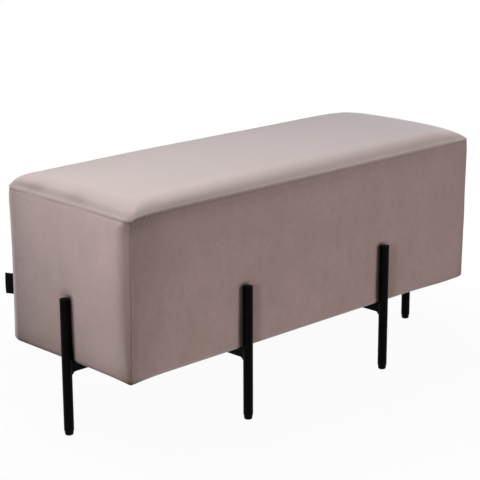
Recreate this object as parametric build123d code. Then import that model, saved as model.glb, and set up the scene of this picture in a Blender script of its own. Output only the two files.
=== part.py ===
from build123d import *
import os
from math import cos, radians, sin

os.makedirs("parts", exist_ok=True)

# Upholstered bench pouf: a boarded box in foam and velvet, held by two welded leg frames.
# X runs along the bench, Y across it, Z up. The origin is on the floor under its middle. Sizes in mm.

# Padded body, measured outside the cover
body_length = 970.0
body_width = 352.0
underside_height = 142.0
seam_height = 447.0
corner_radius = 20.0
bottom_edge_radius = 9.0
side_draw_in = 2.5

# Crowned top: a rolled shoulder at the edge, then a shallow dome to a flat middle
crown_rise = 30.0
shoulder_run = 32.0
shoulder_rise = 26.0
flat_middle_width = 132.0
corner_softening = 0.3
shoulder_contours = (25.0, 45.0, 65.0, 85.0)
dome_contours = (0.12, 0.3, 0.6, 1.0)

# Velvet cover and the black cloth under the body
fabric = 1.5
corner_wrap = 12.0
hem_width = 40.0
dust_cloth = 0.6
dust_cloth_inset = 12.0

# Foam and wadding
side_foam = 15.0
top_foam = 50.0
foam_crown_rise = 20.0

# Boarded box
base_thickness = 15.0
board_thickness = 12.0
deck_thickness = 9.0
block_side = 30.0

# Wood screws
screw_diameter = 4.0
screw_head_diameter = 8.0
screw_length = 40.0
screw_end_margin = 50.0
screws_per_board_end = 2
screws_per_long_edge = 4

# Staples
staple_crown = 10.0
staple_wire = 0.7
staple_leg = 8.0
staple_pitch = 80.0
staple_end_margin = 45.0
staple_to_screw = 2.5
staple_row_gap = 6.0

# Side label, left blank
label_length = 21.0
label_height = 41.0
label_thickness = 1.0
label_bottom = 234.0
label_lean = 25.0

# Leg tubes
leg_diameter = 19.0
leg_wall = 1.5
leg_top = 267.5
leg_spacing = 394.0
leg_standoff = 5.5
cap_thickness = 2.5
cap_edge_radius = 1.0
cap_plug_length = 10.0

# Rectangular bars under the body and the welds that join them to the legs
bar_depth = 18.0
bar_width = 10.0
bar_wall = 1.5
weld_leg = 6.0
weld_width = 8.0

# Bolts and tee nuts that hold the frames to the base board
bolt_diameter = 5.0
bolt_length = 35.0
bolt_head_diameter = 9.5
bolt_head_height = 2.8
cross_bar_bolt_spacing = 190.0
end_bar_bolt_inset = 95.0
end_bar_bolt_pitch = 125.0
tee_nut_barrel = 8.0
tee_nut_length = 10.0
tee_nut_flange = 18.0
tee_nut_flange_thickness = 1.5

# Levelling feet in the tube ends
foot_height = 8.0
foot_diameter = 16.5
foot_edge_radius = 3.0
stud_diameter = 8.0
stud_length = 24.0
stud_seat = 5.5
insert_length = 30.0
insert_flange_thickness = 2.0
insert_flange_diameter = 18.4
insert_edge_radius = 0.8

# Clearances
leg_to_cover = 0.4
running_clearance = 0.05
press_clearance = 0.05
hole_clearance = 0.25
clear_of_bar = 15.0

# Heights and half sizes that follow from the above
half_length = body_length / 2
half_width = body_width / 2
base_bottom = underside_height + fabric
base_top = base_bottom + base_thickness
deck_top = seam_height - top_foam
deck_bottom = deck_top - deck_thickness
box_inset = fabric + side_foam
box_half_length = half_length - box_inset
box_half_width = half_width - box_inset
flat_middle_inset = (body_width - flat_middle_width) / 2
screw_row_inset = box_inset + board_thickness / 2
dust_staple_inset = screw_row_inset + screw_head_diameter / 2 + staple_to_screw
cover_staple_inset = dust_staple_inset + staple_row_gap
bar_top = underside_height - dust_cloth
bar_bottom = bar_top - bar_depth
leg_radius = leg_diameter / 2
leg_bore = leg_diameter - 2 * leg_wall
tube_bottom = foot_height + insert_flange_thickness
tube_top = leg_top - cap_thickness
end_leg_x = half_length + leg_standoff
side_leg_x = leg_spacing / 2
side_leg_y = half_width + leg_standoff
seam_x = half_length - corner_wrap

leg_places = {
    "left_end": (-end_leg_x, 0.0),
    "right_end": (end_leg_x, 0.0),
    "front_left": (-side_leg_x, -side_leg_y),
    "front_right": (side_leg_x, -side_leg_y),
    "rear_left": (-side_leg_x, side_leg_y),
    "rear_right": (side_leg_x, side_leg_y),
}
bolt_places = [
    (side * side_leg_x, end * cross_bar_bolt_spacing / 2) for side in (-1, 1) for end in (-1, 1)
] + [
    (side * (half_length - end_bar_bolt_inset - step * end_bar_bolt_pitch), 0.0)
    for side in (-1, 1)
    for step in (0, 1)
]


def save(shape, node):
    """Write one node; a list of solids becomes one node of separate solids."""
    export_step(Compound(shape) if isinstance(shape, list) else shape, f"parts/{node}.step")


def block(x0, x1, y0, y1, z0, z1):
    """A box between two corners."""
    return Pos((x0 + x1) / 2, (y0 + y1) / 2, (z0 + z1) / 2) * Box(x1 - x0, y1 - y0, z1 - z0)


def rod(x, y, z0, z1, diameter):
    """An upright cylinder between two heights."""
    return Pos(x, y, (z0 + z1) / 2) * Cylinder(diameter / 2, z1 - z0)


def outline(inset, z, radius):
    """The body's plan, a rectangle with round corners, drawn in by inset at height z."""
    length = body_length - 2 * inset
    width = body_width - 2 * inset
    return Pos(0, 0, z) * RectangleRounded(length, width, radius)


def leg_hollows(depth):
    """Upright hollows that the legs press into the padded sides, depth below the cover's face."""
    diameter = leg_diameter + 2 * (leg_to_cover + depth)
    top = leg_top + leg_to_cover + depth
    return [rod(x, y, underside_height - leg_diameter, top, diameter) for x, y in leg_places.values()]


def body_form(depth):
    """The boxed body below the top seam, depth inside the cover: drawn-in sides, round lower edge."""
    bottom = underside_height + depth
    waist = (underside_height + seam_height) / 2
    radius = corner_radius - depth
    sections = [
        outline(depth, bottom, radius),
        outline(depth + side_draw_in, waist, radius),
        outline(depth, seam_height, radius),
    ]
    form = loft(sections)
    lower_edges = form.faces().sort_by(Axis.Z)[0].edges()
    return fillet(lower_edges, bottom_edge_radius - depth) - leg_hollows(depth)


def crown_form(edge_inset, depth, rise):
    """The crowned top above the seam: contours up a quarter-round shoulder, then over a shallow dome."""
    shoulder = rise * shoulder_rise / crown_rise
    angles = [radians(a) for a in shoulder_contours]
    steps = [(shoulder_run * (1 - cos(a)), shoulder * sin(a)) for a in angles]
    dome_run = flat_middle_inset - edge_inset - shoulder_run
    for share in dome_contours:
        height = shoulder + (rise - shoulder) * (1 - (1 - share) ** 2)
        steps.append((shoulder_run + share * dome_run, height))
    sections = [outline(edge_inset, seam_height, corner_radius)]
    for run, height in steps:
        radius = corner_radius + corner_softening * run
        sections.append(outline(edge_inset + run, seam_height + height - depth, radius))
    return loft(sections, ruled=True)


def span(start, end, pitch):
    """Evenly spaced places strictly inside a span, about one pitch apart."""
    count = max(1, round((end - start) / pitch))
    return [start + (end - start) * (i + 0.5) / count for i in range(count)]


# Boarded box

def wood_screw(clearance):
    """A countersunk screw along +Z, head flush at the origin; clearance makes it the tool for its hole."""
    head = screw_head_diameter / 2 + clearance
    shank = screw_diameter / 2 + clearance
    tip = screw_length + clearance
    profile = Polyline((0, 0), (head, 0), (shank, head - shank), (shank, tip), (0, tip), close=True)
    return revolve(Plane.XZ * make_face(profile), Axis.Z)


def screw_places():
    """Carcass screws: long boards into end boards and divider, base and deck into the long boards."""
    places = []
    rows = span(base_top, deck_bottom, (deck_bottom - base_top) / screws_per_board_end)
    board_ends = (-box_half_length + board_thickness / 2, 0.0, box_half_length - board_thickness / 2)
    for side in (-1, 1):
        for x in board_ends:
            places += [(x, side * box_half_width, z, (0, -side, 0)) for z in rows]
        edge_y = side * (half_width - screw_row_inset)
        reach = box_half_length - screw_end_margin
        for x in span(-reach, reach, 2 * reach / screws_per_long_edge):
            places.append((x, edge_y, base_bottom, (0, 0, 1)))
            places.append((x, edge_y, deck_top, (0, 0, -1)))
    return places


screw_planes = [Plane(origin=(x, y, z), z_dir=direction) for x, y, z, direction in screw_places()]
screw_solid = wood_screw(0.0)
screw_tool = wood_screw(press_clearance)
screw_holes = [plane * screw_tool for plane in screw_planes]
inner_half_width = box_half_width - board_thickness
boards = {
    "base_board": block(
        -box_half_length, box_half_length, -box_half_width, box_half_width, base_bottom, base_top
    ),
    "top_deck": block(
        -box_half_length, box_half_length, -box_half_width, box_half_width, deck_bottom, deck_top
    ),
    "front_board": block(
        -box_half_length, box_half_length, -box_half_width, -inner_half_width, base_top, deck_bottom
    ),
    "rear_board": block(
        -box_half_length, box_half_length, inner_half_width, box_half_width, base_top, deck_bottom
    ),
}
for name, x in {
    "left_end_board": -box_half_length + board_thickness / 2,
    "centre_divider": 0.0,
    "right_end_board": box_half_length - board_thickness / 2,
}.items():
    x0 = x - board_thickness / 2
    boards[name] = block(
        x0, x0 + board_thickness, -inner_half_width, inner_half_width, base_top, deck_bottom
    )
inner_half_length = box_half_length - board_thickness
for end, x in (("left", -inner_half_length), ("right", inner_half_length - block_side)):
    for side, y in (("front", -inner_half_width), ("rear", inner_half_width - block_side)):
        post = block(x, x + block_side, y, y + block_side, base_top, deck_bottom)
        boards[f"{side}_{end}_corner_block"] = post

# Bolts and tee nuts

frame_bolts = []
tee_nuts = []
for x, y in bolt_places:
    head = rod(x, y, bar_bottom - bolt_head_height, bar_bottom, bolt_head_diameter)
    head = fillet(head.edges().sort_by(Axis.Z)[0], bolt_head_height / 2)
    frame_bolts.append(head + rod(x, y, bar_bottom, bar_bottom + bolt_length, bolt_diameter))
    flange = rod(x, y, base_top, base_top + tee_nut_flange_thickness, tee_nut_flange)
    barrel = rod(x, y, base_top - tee_nut_length, base_top, tee_nut_barrel)
    thread = rod(x, y, base_bottom, base_top + base_thickness, bolt_diameter + 2 * press_clearance)
    tee_nuts.append(flange + barrel - thread)
bolt_hole_diameter = bolt_diameter + 2 * hole_clearance
bolt_holes = [rod(x, y, bar_bottom - bar_depth, base_top, bolt_hole_diameter) for x, y in bolt_places]
barrel_hole_diameter = tee_nut_barrel + 2 * press_clearance
barrel_bottom = base_top - tee_nut_length
barrel_holes = [rod(x, y, barrel_bottom, base_top, barrel_hole_diameter) for x, y in bolt_places]

# Staples


def staple(clearance):
    """A staple along X, its crown at the origin and legs up; clearance makes it the tool for its holes."""
    outer = staple_crown / 2 + clearance
    inner = outer - staple_wire - 2 * clearance
    low = -clearance
    bend = staple_wire + clearance
    tip = staple_leg + clearance
    right = [(inner, bend), (inner, tip), (outer, tip), (outer, low)]
    left = [(-x, z) for x, z in reversed(right)]
    profile = Polyline(*right, *left, close=True)
    return extrude(Plane.XZ * make_face(profile), staple_wire / 2 + clearance, both=True)


def staple_row(inset, z):
    """Staple locations along the four edges of the underside at height z, kept clear of the bars."""
    rows = []
    reach_x = half_length - staple_end_margin
    gap = bar_width / 2 + clear_of_bar
    left_span = (-reach_x, -side_leg_x - gap)
    middle_span = (-side_leg_x + gap, side_leg_x - gap)
    right_span = (side_leg_x + gap, reach_x)
    for x0, x1 in (left_span, middle_span, right_span):
        for side in (-1, 1):
            rows += [Pos(x, side * (half_width - inset), z) for x in span(x0, x1, staple_pitch)]
    reach_y = half_width - staple_end_margin
    for side in (-1, 1):
        for y0, y1 in ((-reach_y, -gap), (gap, reach_y)):
            places = [Pos(side * (half_length - inset), y, z) for y in span(y0, y1, staple_pitch)]
            rows += [place * Rot(0, 0, 90) for place in places]
    return rows


staple_solid = staple(0.0)
staple_tool = staple(press_clearance)
cover_staple_row = staple_row(cover_staple_inset, underside_height)
dust_staple_row = staple_row(dust_staple_inset, bar_top - staple_wire)
staple_holes = [place * staple_tool for place in cover_staple_row + dust_staple_row]

boards["base_board"] -= bolt_holes + barrel_holes + staple_holes
for name, board in boards.items():
    save(board - screw_holes, name)
save([plane * screw_solid for plane in screw_planes], "carcass_screws")
save(frame_bolts, "frame_bolts")
save(tee_nuts, "tee_nuts")
save([place * staple_solid for place in cover_staple_row], "cover_staples")
save([place * staple_solid for place in dust_staple_row], "dust_cloth_staples")

# Foam and wadding

box_top = seam_height + fabric
box_space = block(
    -box_half_length, box_half_length, -box_half_width, box_half_width, underside_height, box_top
)
cover_form = body_form(0.0)
padding_form = body_form(fabric)
padding = padding_form - box_space
tall = seam_height + crown_rise
for name, zone in {
    "left_foam": block(-body_length, -box_half_length, -body_width, body_width, 0, tall),
    "right_foam": block(box_half_length, body_length, -body_width, body_width, 0, tall),
    "front_foam": block(-box_half_length, box_half_length, -body_width, -box_half_width, 0, tall),
    "rear_foam": block(-box_half_length, box_half_length, box_half_width, body_width, 0, tall),
}.items():
    save(padding & zone, name)
foam_slab = block(-box_half_length, box_half_length, -box_half_width, box_half_width, deck_top, seam_height)
foam_dome = crown_form(box_inset, 0.0, foam_crown_rise)
wadding_form = crown_form(fabric, fabric, crown_rise)
save(foam_slab + foam_dome, "top_foam")
save(wadding_form - foam_dome, "top_wadding")

# Velvet cover, sewn from a top panel, two long panels and two end panels that wrap the corners

save(crown_form(0.0, 0.0, crown_rise) - wadding_form, "top_panel")
hem_x = half_length - hem_width
hem_y = half_width - hem_width
hem_opening = block(-hem_x, hem_x, -hem_y, hem_y, 0, tall)
skirt = cover_form - padding_form - hem_opening - staple_holes
end_zones = []
for name, side in (("left_end_panel", -1), ("right_end_panel", 1)):
    wrap_x = sorted((side * seam_x, side * body_length))
    wrap = block(*wrap_x, -body_width, body_width, 0, tall)
    corner_points = [
        (side * half_length, -half_width),
        (side * half_length, half_width),
        (side * hem_x, hem_y),
        (side * hem_x, -hem_y),
    ]
    hem_plan = make_face(Polyline(*corner_points, close=True))
    zone = wrap + extrude(Pos(0, 0, underside_height) * hem_plan, fabric)
    end_zones.append(zone)
    save(skirt & zone, name)
long_panels = skirt - end_zones
save(long_panels & block(-body_length, body_length, -body_width, 0, 0, tall), "front_panel")
save(long_panels & block(-body_length, body_length, 0, body_width, 0, tall), "rear_panel")

dust_plan = RectangleRounded(
    body_length - 2 * dust_cloth_inset,
    body_width - 2 * dust_cloth_inset,
    corner_radius - dust_cloth_inset,
)
save(extrude(Pos(0, 0, bar_top) * dust_plan, dust_cloth) - bolt_holes - staple_holes, "dust_cloth")

label = Pos(0, 0, label_bottom) * Box(
    label_length + corner_wrap, label_thickness, label_height, align=(Align.MIN, Align.CENTER, Align.MIN)
)
label_root = Pos(-seam_x, half_width - side_draw_in, 0) * Rot(0, 0, 90 + label_lean)
save(label_root * Pos(-corner_wrap, 0, 0) * label - cover_form, "side_label")

# Leg frames: tubes, bars, welds, caps

leg_blanks = [rod(x, y, 0, leg_top, leg_diameter + 2 * press_clearance) for x, y in leg_places.values()]
for name, (x, y) in leg_places.items():
    tube = rod(x, y, tube_bottom, tube_top, leg_diameter) - rod(x, y, 0, leg_top, leg_bore)
    save(tube, f"{name}_leg")


def bar(length):
    """A rectangular tube along X from the origin."""
    align = (Align.MIN, Align.CENTER, Align.MIN)
    inner_width = bar_width - 2 * bar_wall
    inner_depth = bar_depth - 2 * bar_wall
    inner = Pos(0, 0, bar_wall) * Box(length, inner_width, inner_depth, align=align)
    return Box(length, bar_width, bar_depth, align=align) - inner


for name, side in (("left", -1), ("right", 1)):
    cross_bar = Pos(side * side_leg_x, -side_leg_y, bar_bottom) * Rot(0, 0, 90) * bar(2 * side_leg_y)
    save(cross_bar - leg_blanks - bolt_holes, f"{name}_cross_bar")
    inner_end = side_leg_x + bar_width / 2
    turn = 0 if side > 0 else 180
    end_bar = Pos(side * inner_end, 0, bar_bottom) * Rot(0, 0, turn) * bar(end_leg_x - inner_end)
    save(end_bar - leg_blanks - bolt_holes, f"{name}_end_bar")


def weld(x, y, turn):
    """The triangular weld under a bar against its leg; turn points from the leg along the bar."""
    points = [(0, 0), (leg_radius + weld_leg, 0), (leg_radius, -weld_leg), (0, -weld_leg)]
    wedge = extrude(Plane.XZ * make_face(Polyline(*points, close=True)), weld_width / 2, both=True)
    return Pos(x, y, bar_bottom) * Rot(0, 0, turn) * wedge


inward_turns = {
    "left_end": 0,
    "right_end": 180,
    "front_left": 90,
    "front_right": 90,
    "rear_left": -90,
    "rear_right": -90,
}
frame_welds = [weld(*leg_places[name], turn) - leg_blanks for name, turn in inward_turns.items()]
save([seam.solid() for seam in frame_welds], "frame_welds")

caps = []
inserts = []
for name, (x, y) in leg_places.items():
    disc = rod(x, y, tube_top, leg_top, leg_diameter)
    disc = fillet(disc.edges().sort_by(Axis.Z)[-1], cap_edge_radius)
    caps.append(disc + rod(x, y, tube_top - cap_plug_length, tube_top, leg_bore - 2 * press_clearance))
    flange = rod(x, y, foot_height, tube_bottom, insert_flange_diameter)
    flange = fillet(flange.edges().sort_by(Axis.Z)[0], insert_edge_radius)
    plug = rod(x, y, tube_bottom, tube_bottom + insert_length, leg_bore - 2 * press_clearance)
    bore = rod(x, y, 0, leg_top, stud_diameter + 2 * running_clearance)
    inserts.append(flange + plug - bore)
    foot = rod(x, y, 0, foot_height, foot_diameter)
    foot = fillet(foot.edges().sort_by(Axis.Z)[0], foot_edge_radius)
    seat = rod(x, y, foot_height - stud_seat, leg_top, stud_diameter)
    save(foot - seat, f"{name}_foot")
    save(rod(x, y, foot_height - stud_seat, foot_height + stud_length, stud_diameter), f"{name}_foot_stud")
save(caps, "leg_caps")
save(inserts, "leg_inserts")
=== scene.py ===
import math

import bpy
import numpy as np
from mathutils import Matrix, Vector


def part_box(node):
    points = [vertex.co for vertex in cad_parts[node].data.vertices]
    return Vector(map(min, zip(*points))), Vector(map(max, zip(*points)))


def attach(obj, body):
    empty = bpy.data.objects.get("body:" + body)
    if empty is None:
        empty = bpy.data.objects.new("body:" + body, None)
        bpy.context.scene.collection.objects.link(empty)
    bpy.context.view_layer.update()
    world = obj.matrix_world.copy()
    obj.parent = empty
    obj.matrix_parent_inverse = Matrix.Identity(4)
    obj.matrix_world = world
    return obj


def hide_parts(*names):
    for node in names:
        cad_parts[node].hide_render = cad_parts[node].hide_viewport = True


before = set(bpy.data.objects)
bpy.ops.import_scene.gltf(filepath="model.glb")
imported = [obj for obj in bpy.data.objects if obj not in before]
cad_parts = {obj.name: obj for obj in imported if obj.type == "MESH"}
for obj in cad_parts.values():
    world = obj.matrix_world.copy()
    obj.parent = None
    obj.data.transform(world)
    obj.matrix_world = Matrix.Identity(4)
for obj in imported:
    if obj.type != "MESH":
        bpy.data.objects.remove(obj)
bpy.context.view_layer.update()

# Boarded box inside the cover
# Base, sides, divider, deck and corner posts are cut from plain pale plywood and chipboard.
# They are glued and screwed together, and nothing of them shows once the cover is on.

BOARD_NODES = ["base_board", "front_board", "rear_board", "left_end_board", "right_end_board"]
BOARD_NODES += ["centre_divider", "top_deck"]
BOARD_NODES += [f"{side}_{end}_corner_block" for side in ("front", "rear") for end in ("left", "right")]
BOARD_PALE = (0.58, 0.42, 0.25, 1)
BOARD_DARK = (0.40, 0.26, 0.14, 1)
BOARD_ROUGHNESS = (0.65, 0.85)
BOARD_RELIEF = 0.0004


def new_material(name):
    """An empty node material with its Principled shader: the material, its node tree and the shader."""
    material = bpy.data.materials.new(name)
    material.use_nodes = True
    tree = material.node_tree
    return material, tree, tree.nodes["Principled BSDF"]


def add_node(tree, kind, **inputs):
    """A node of that kind with the named inputs set, spaces in their names written as underscores."""
    node = tree.nodes.new(kind)
    for name, value in inputs.items():
        node.inputs[name.replace("_", " ")].default_value = value
    return node


def mottle_group():
    """A shader group of two tones that wander into each other, for finishes that vary over the surface.

    Noise on stretched Object coordinates is carried from the low and high marks to a mask from 0 to the
    share. The mask mixes the second tone into the first; the plain noise is put out as a height.
    """
    group = bpy.data.node_groups.new("two_tone_mottle", "ShaderNodeTree")
    sockets = [("Stretch", "Vector", (1, 1, 1)), ("Scale", "Float", 10.0), ("Detail", "Float", 3.0)]
    sockets += [("Roughness", "Float", 0.5), ("Low", "Float", 0.3), ("High", "Float", 0.7)]
    sockets += [("Share", "Float", 1.0), ("First", "Color", (1, 1, 1, 1))]
    sockets += [("Second", "Color", (0, 0, 0, 1))]
    for name, kind, value in sockets:
        socket = group.interface.new_socket(name, in_out="INPUT", socket_type=f"NodeSocket{kind}")
        socket.default_value = value
    for name, kind in (("Tone", "Color"), ("Mask", "Float"), ("Height", "Float")):
        group.interface.new_socket(name, in_out="OUTPUT", socket_type=f"NodeSocket{kind}")
    given = group.nodes.new("NodeGroupInput").outputs
    result = group.nodes.new("NodeGroupOutput").inputs
    place = group.nodes.new("ShaderNodeTexCoord")
    mapping = group.nodes.new("ShaderNodeMapping")
    noise = group.nodes.new("ShaderNodeTexNoise")
    mask = group.nodes.new("ShaderNodeMapRange")
    mix = group.nodes.new("ShaderNodeMix")
    mix.data_type = "RGBA"
    for source, target in (
        (place.outputs["Object"], mapping.inputs["Vector"]), (given["Stretch"], mapping.inputs["Scale"]),
        (mapping.outputs["Vector"], noise.inputs["Vector"]), (given["Scale"], noise.inputs["Scale"]),
        (given["Detail"], noise.inputs["Detail"]), (given["Roughness"], noise.inputs["Roughness"]),
        (noise.outputs["Fac"], mask.inputs["Value"]), (given["Low"], mask.inputs["From Min"]),
        (given["High"], mask.inputs["From Max"]), (given["Share"], mask.inputs["To Max"]),
        (mask.outputs["Result"], mix.inputs["Factor"]), (given["First"], mix.inputs["A"]),
        (given["Second"], mix.inputs["B"]), (mix.outputs["Result"], result["Tone"]),
        (mask.outputs["Result"], result["Mask"]), (noise.outputs["Fac"], result["Height"]),
    ):
        group.links.new(source, target)
    return group


two_tone_mottle = mottle_group()


def mottle(tree, under=None, **values):
    """The mottle group with its own values, its first tone taken from the mottle under it, if any."""
    node = tree.nodes.new("ShaderNodeGroup")
    node.node_tree = two_tone_mottle
    for name, value in values.items():
        node.inputs[name].default_value = value
    if under is not None:
        tree.links.new(under.outputs["Tone"], node.inputs["First"])
    return node


def remap(tree, value, low, high, new_low, new_high):
    """A value carried from one range to another and held at its ends."""
    node = tree.nodes.new("ShaderNodeMapRange")
    tree.links.new(value, node.inputs["Value"])
    ends = (low, high, new_low, new_high)
    for socket, end in zip(("From Min", "From Max", "To Min", "To Max"), ends):
        node.inputs[socket].default_value = end
    return node.outputs["Result"]


def bump(tree, shader, height, distance, strength=1.0):
    """Raises the shader's surface by a height from 0 to 1 times the distance."""
    node = add_node(tree, "ShaderNodeBump", Strength=strength, Distance=distance)
    tree.links.new(height, node.inputs["Height"])
    tree.links.new(node.outputs["Normal"], shader.inputs["Normal"])


def dress(nodes, material):
    """Gives CAD nodes their finish."""
    for name in nodes:
        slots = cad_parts[name].data.materials
        slots.clear()
        slots.append(material)


board, tree, shader = new_material("pale_board")
grain = mottle(
    tree, Stretch=(4, 60, 60), Scale=2, Detail=6, Roughness=0.6, First=BOARD_PALE, Second=BOARD_DARK,
)
flecks = mottle(tree, Scale=220, Detail=2, Low=0.2, High=0.8)
tree.links.new(grain.outputs["Tone"], shader.inputs["Base Color"])
tree.links.new(remap(tree, flecks.outputs["Mask"], 0, 1, *BOARD_ROUGHNESS), shader.inputs["Roughness"])
bump(tree, shader, grain.outputs["Height"], BOARD_RELIEF)
dress(BOARD_NODES, board)

# Screws, tee nuts, staples and levelling studs
# Small turned and bent steel, zinc plated, bright with a faint grey mottle where the plating dulls.
# The screws and nuts are driven into the boards, the staples through the cover's hem.

STEEL_NODES = ["carcass_screws", "tee_nuts", "cover_staples", "dust_cloth_staples"]
LEG_NAMES = ["left_end", "right_end", "front_left", "front_right", "rear_left", "rear_right"]
STEEL_NODES += [f"{name}_foot_stud" for name in LEG_NAMES]
ZINC_BRIGHT = (0.62, 0.62, 0.60, 1)
ZINC_DULL = (0.42, 0.43, 0.44, 1)
ZINC_ROUGHNESS = (0.28, 0.5)

zinc, tree, shader = new_material("zinc_steel")
dulling = mottle(tree, Scale=160, Detail=4, First=ZINC_BRIGHT, Second=ZINC_DULL)
tree.links.new(dulling.outputs["Tone"], shader.inputs["Base Color"])
shader.inputs["Metallic"].default_value = 1.0
tree.links.new(remap(tree, dulling.outputs["Mask"], 0, 1, *ZINC_ROUGHNESS), shader.inputs["Roughness"])
dress(STEEL_NODES, zinc)

# Velvet cover over foam, the side pads
# Short-pile velvet in a dusty mauve is sewn from a top, two long panels and two end panels over foam.
# The end panels wrap the upright corners, so the upright seams stand a little way along the long sides.

HALF_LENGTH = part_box("top_panel")[1].x
HALF_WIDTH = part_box("top_panel")[1].y
SEAM_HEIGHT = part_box("top_panel")[0].z
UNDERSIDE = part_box("front_panel")[0].z
BASE_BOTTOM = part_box("base_board")[0].z
BOX_INSET = HALF_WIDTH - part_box("base_board")[1].y
HEM_INSET = 0.040
BOX_CLEARANCE = 0.0002
BASE_CLEARANCE = 0.0001

# Corner rounding along X and Y, and how much of it each corner has, anticlockwise from the front right
CORNER_X = HALF_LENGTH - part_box("front_panel")[1].x
CORNER_Y = 0.030
CORNER_SHARES = np.array([1.5, 1.1, 0.72, 1.35])
LEAST_RADIUS = 0.0015
MOST_RADIUS_SHARE = 0.95

# Top seam: the fold of each panel's edge, the stitches' sway, the bow along the long sides and, at each
# corner, the droop with its reach along the sides and the nip where an upright seam pulls the cloth in
SEAM_FOLD = 0.0012
SEAM_SWAY = 0.0003
SEAM_SWAY_LENGTH = 0.030
SEAM_BOW = -0.0012
SEAM_BOW_POWER = 4
CORNER_DROOPS = (0.0005, 0.0015, -0.0010, 0.0050)
DROOP_REACH_LONG = 0.020
DROOP_REACH_END = 0.200
NIP_DEPTH = 0.0020
NIP_REACH = 0.008
NIP_DROP = 0.0026

# Upright seams: how far from the corner they stand, and the groove with a ridge on each side of it
SEAM_SHIFT = 0.0085
UPRIGHT_GROOVE_DEPTH = 0.0015
UPRIGHT_GROOVE_REACH = 0.0014
UPRIGHT_RIDGE_HEIGHT = 0.0007
UPRIGHT_RIDGE_PLACE = 0.0050
UPRIGHT_RIDGE_REACH = 0.0025

# Sides: drawn in at mid height, tucked under the top cushion's edge, puckered there, softly uneven below it
DRAW_IN = 0.0025
TUCK_DEPTH_LONG = 0.0020
TUCK_DEPTH_END = 0.0003
TUCK_REACH = 0.012
PUCKER_DEPTH = 0.00010
PUCKER_LENGTH = 0.016
PUCKER_REACH = 0.008
UNEVEN_DEPTH = 0.0005
UNEVEN_LENGTH = 0.11
UNEVEN_START = 0.02

# Edges: the roundness of the bottom edge, how much sharper each corner is near the bottom and the top, and
# how wide a strip of the underside hangs down with the edge
BOTTOM_RADIUS = 0.013
CORNER_BOTTOM_RADII = np.array([0.009, 0.004, 0.013, 0.004])
CORNER_BOTTOM_REACH = 0.040
BOTTOM_TIGHTENINGS = np.array([-0.35, 0.0, -0.10, 0.66])
BOTTOM_TIGHT_REACH = 0.08
TOP_TIGHTENINGS = np.array([0.22, 0.0, 0.0, 0.60])
TOP_TIGHT_REACH = 0.015
HANG_WIDTH = 0.011

# Legs: their tube's radius and top, the gap to the cloth, and the valley and the dimple pressed behind them
LEG_RADIUS = (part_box("front_left_leg")[1].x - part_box("front_left_leg")[0].x) / 2
LEG_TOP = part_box("leg_caps")[1].z
LEG_GAP = 0.0012
VALLEY_REACH = 0.015
VALLEY_POWER = 4
DIMPLE_REACH = 0.012

# Painted shade: its darkness and reach in the seam's groove, as painted shadow under the cushion's edge, by
# the legs and along the bottom, and the strip by the upright seams where the painted light's slopes fade out
GROOVE_SHADE_LONG = 0.38
GROOVE_SHADE_END = 0.15
GROOVE_REACH = 0.0018
STITCH_LENGTH = 0.010
STITCH_EVEN = 0.7
STITCH_CHANGE = 0.6
UNDER_SHADE = 0.11
UNDER_TILT = 0.7
UNDER_PLACE = 0.006
UNDER_REACH = 0.016
LEG_SHADE = 0.9
LEG_SHADE_REACH = 0.012
LEG_SHADE_ABOVE = 0.004
BOTTOM_SHADE = 0.40
BOTTOM_SHADE_REACH = 0.006
END_BOTTOM_SHADE = 0.20
END_BOTTOM_REACH = 0.030
DARKEST = 0.95
SEAM_STRIP = 0.012
SEAM_SHADE_LEAST = 0.4

leg_axes = [(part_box(f"{name}_leg")[0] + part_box(f"{name}_leg")[1]) / 2 for name in LEG_NAMES]
leg_standoff = min(abs(axis.y) for axis in leg_axes[2:]) - HALF_WIDTH

# Girths along the outline, anticlockwise from the middle of the front
straight_x = 2 * (HALF_LENGTH - CORNER_X)
straight_y = 2 * (HALF_WIDTH - CORNER_Y)
corner_girth = math.pi / 2 * math.hypot(CORNER_X, CORNER_Y) / math.sqrt(2)
girth_steps = [straight_x / 2, corner_girth, straight_y, corner_girth, straight_x]
girth_steps += [corner_girth, straight_y, corner_girth, straight_x / 2]
girth_marks = np.concatenate([[0.0], np.cumsum(girth_steps)])
whole_girth = girth_marks[-1]
right_end_middle = whole_girth * 0.25

# Upright seams in the corners' order, and the way that the end lies from each of them
END_SIDES = np.array([1, -1, 1, -1])
upright_seams = girth_marks[[1, 4, 5, 8]] + SEAM_SHIFT * END_SIDES


def of_corner(girth, shares):
    """The share of the corner in whose quarter of the outline each girth lies."""
    return shares[np.searchsorted(whole_girth * np.array([0.25, 0.5, 0.75]), girth % whole_girth)]


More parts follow.
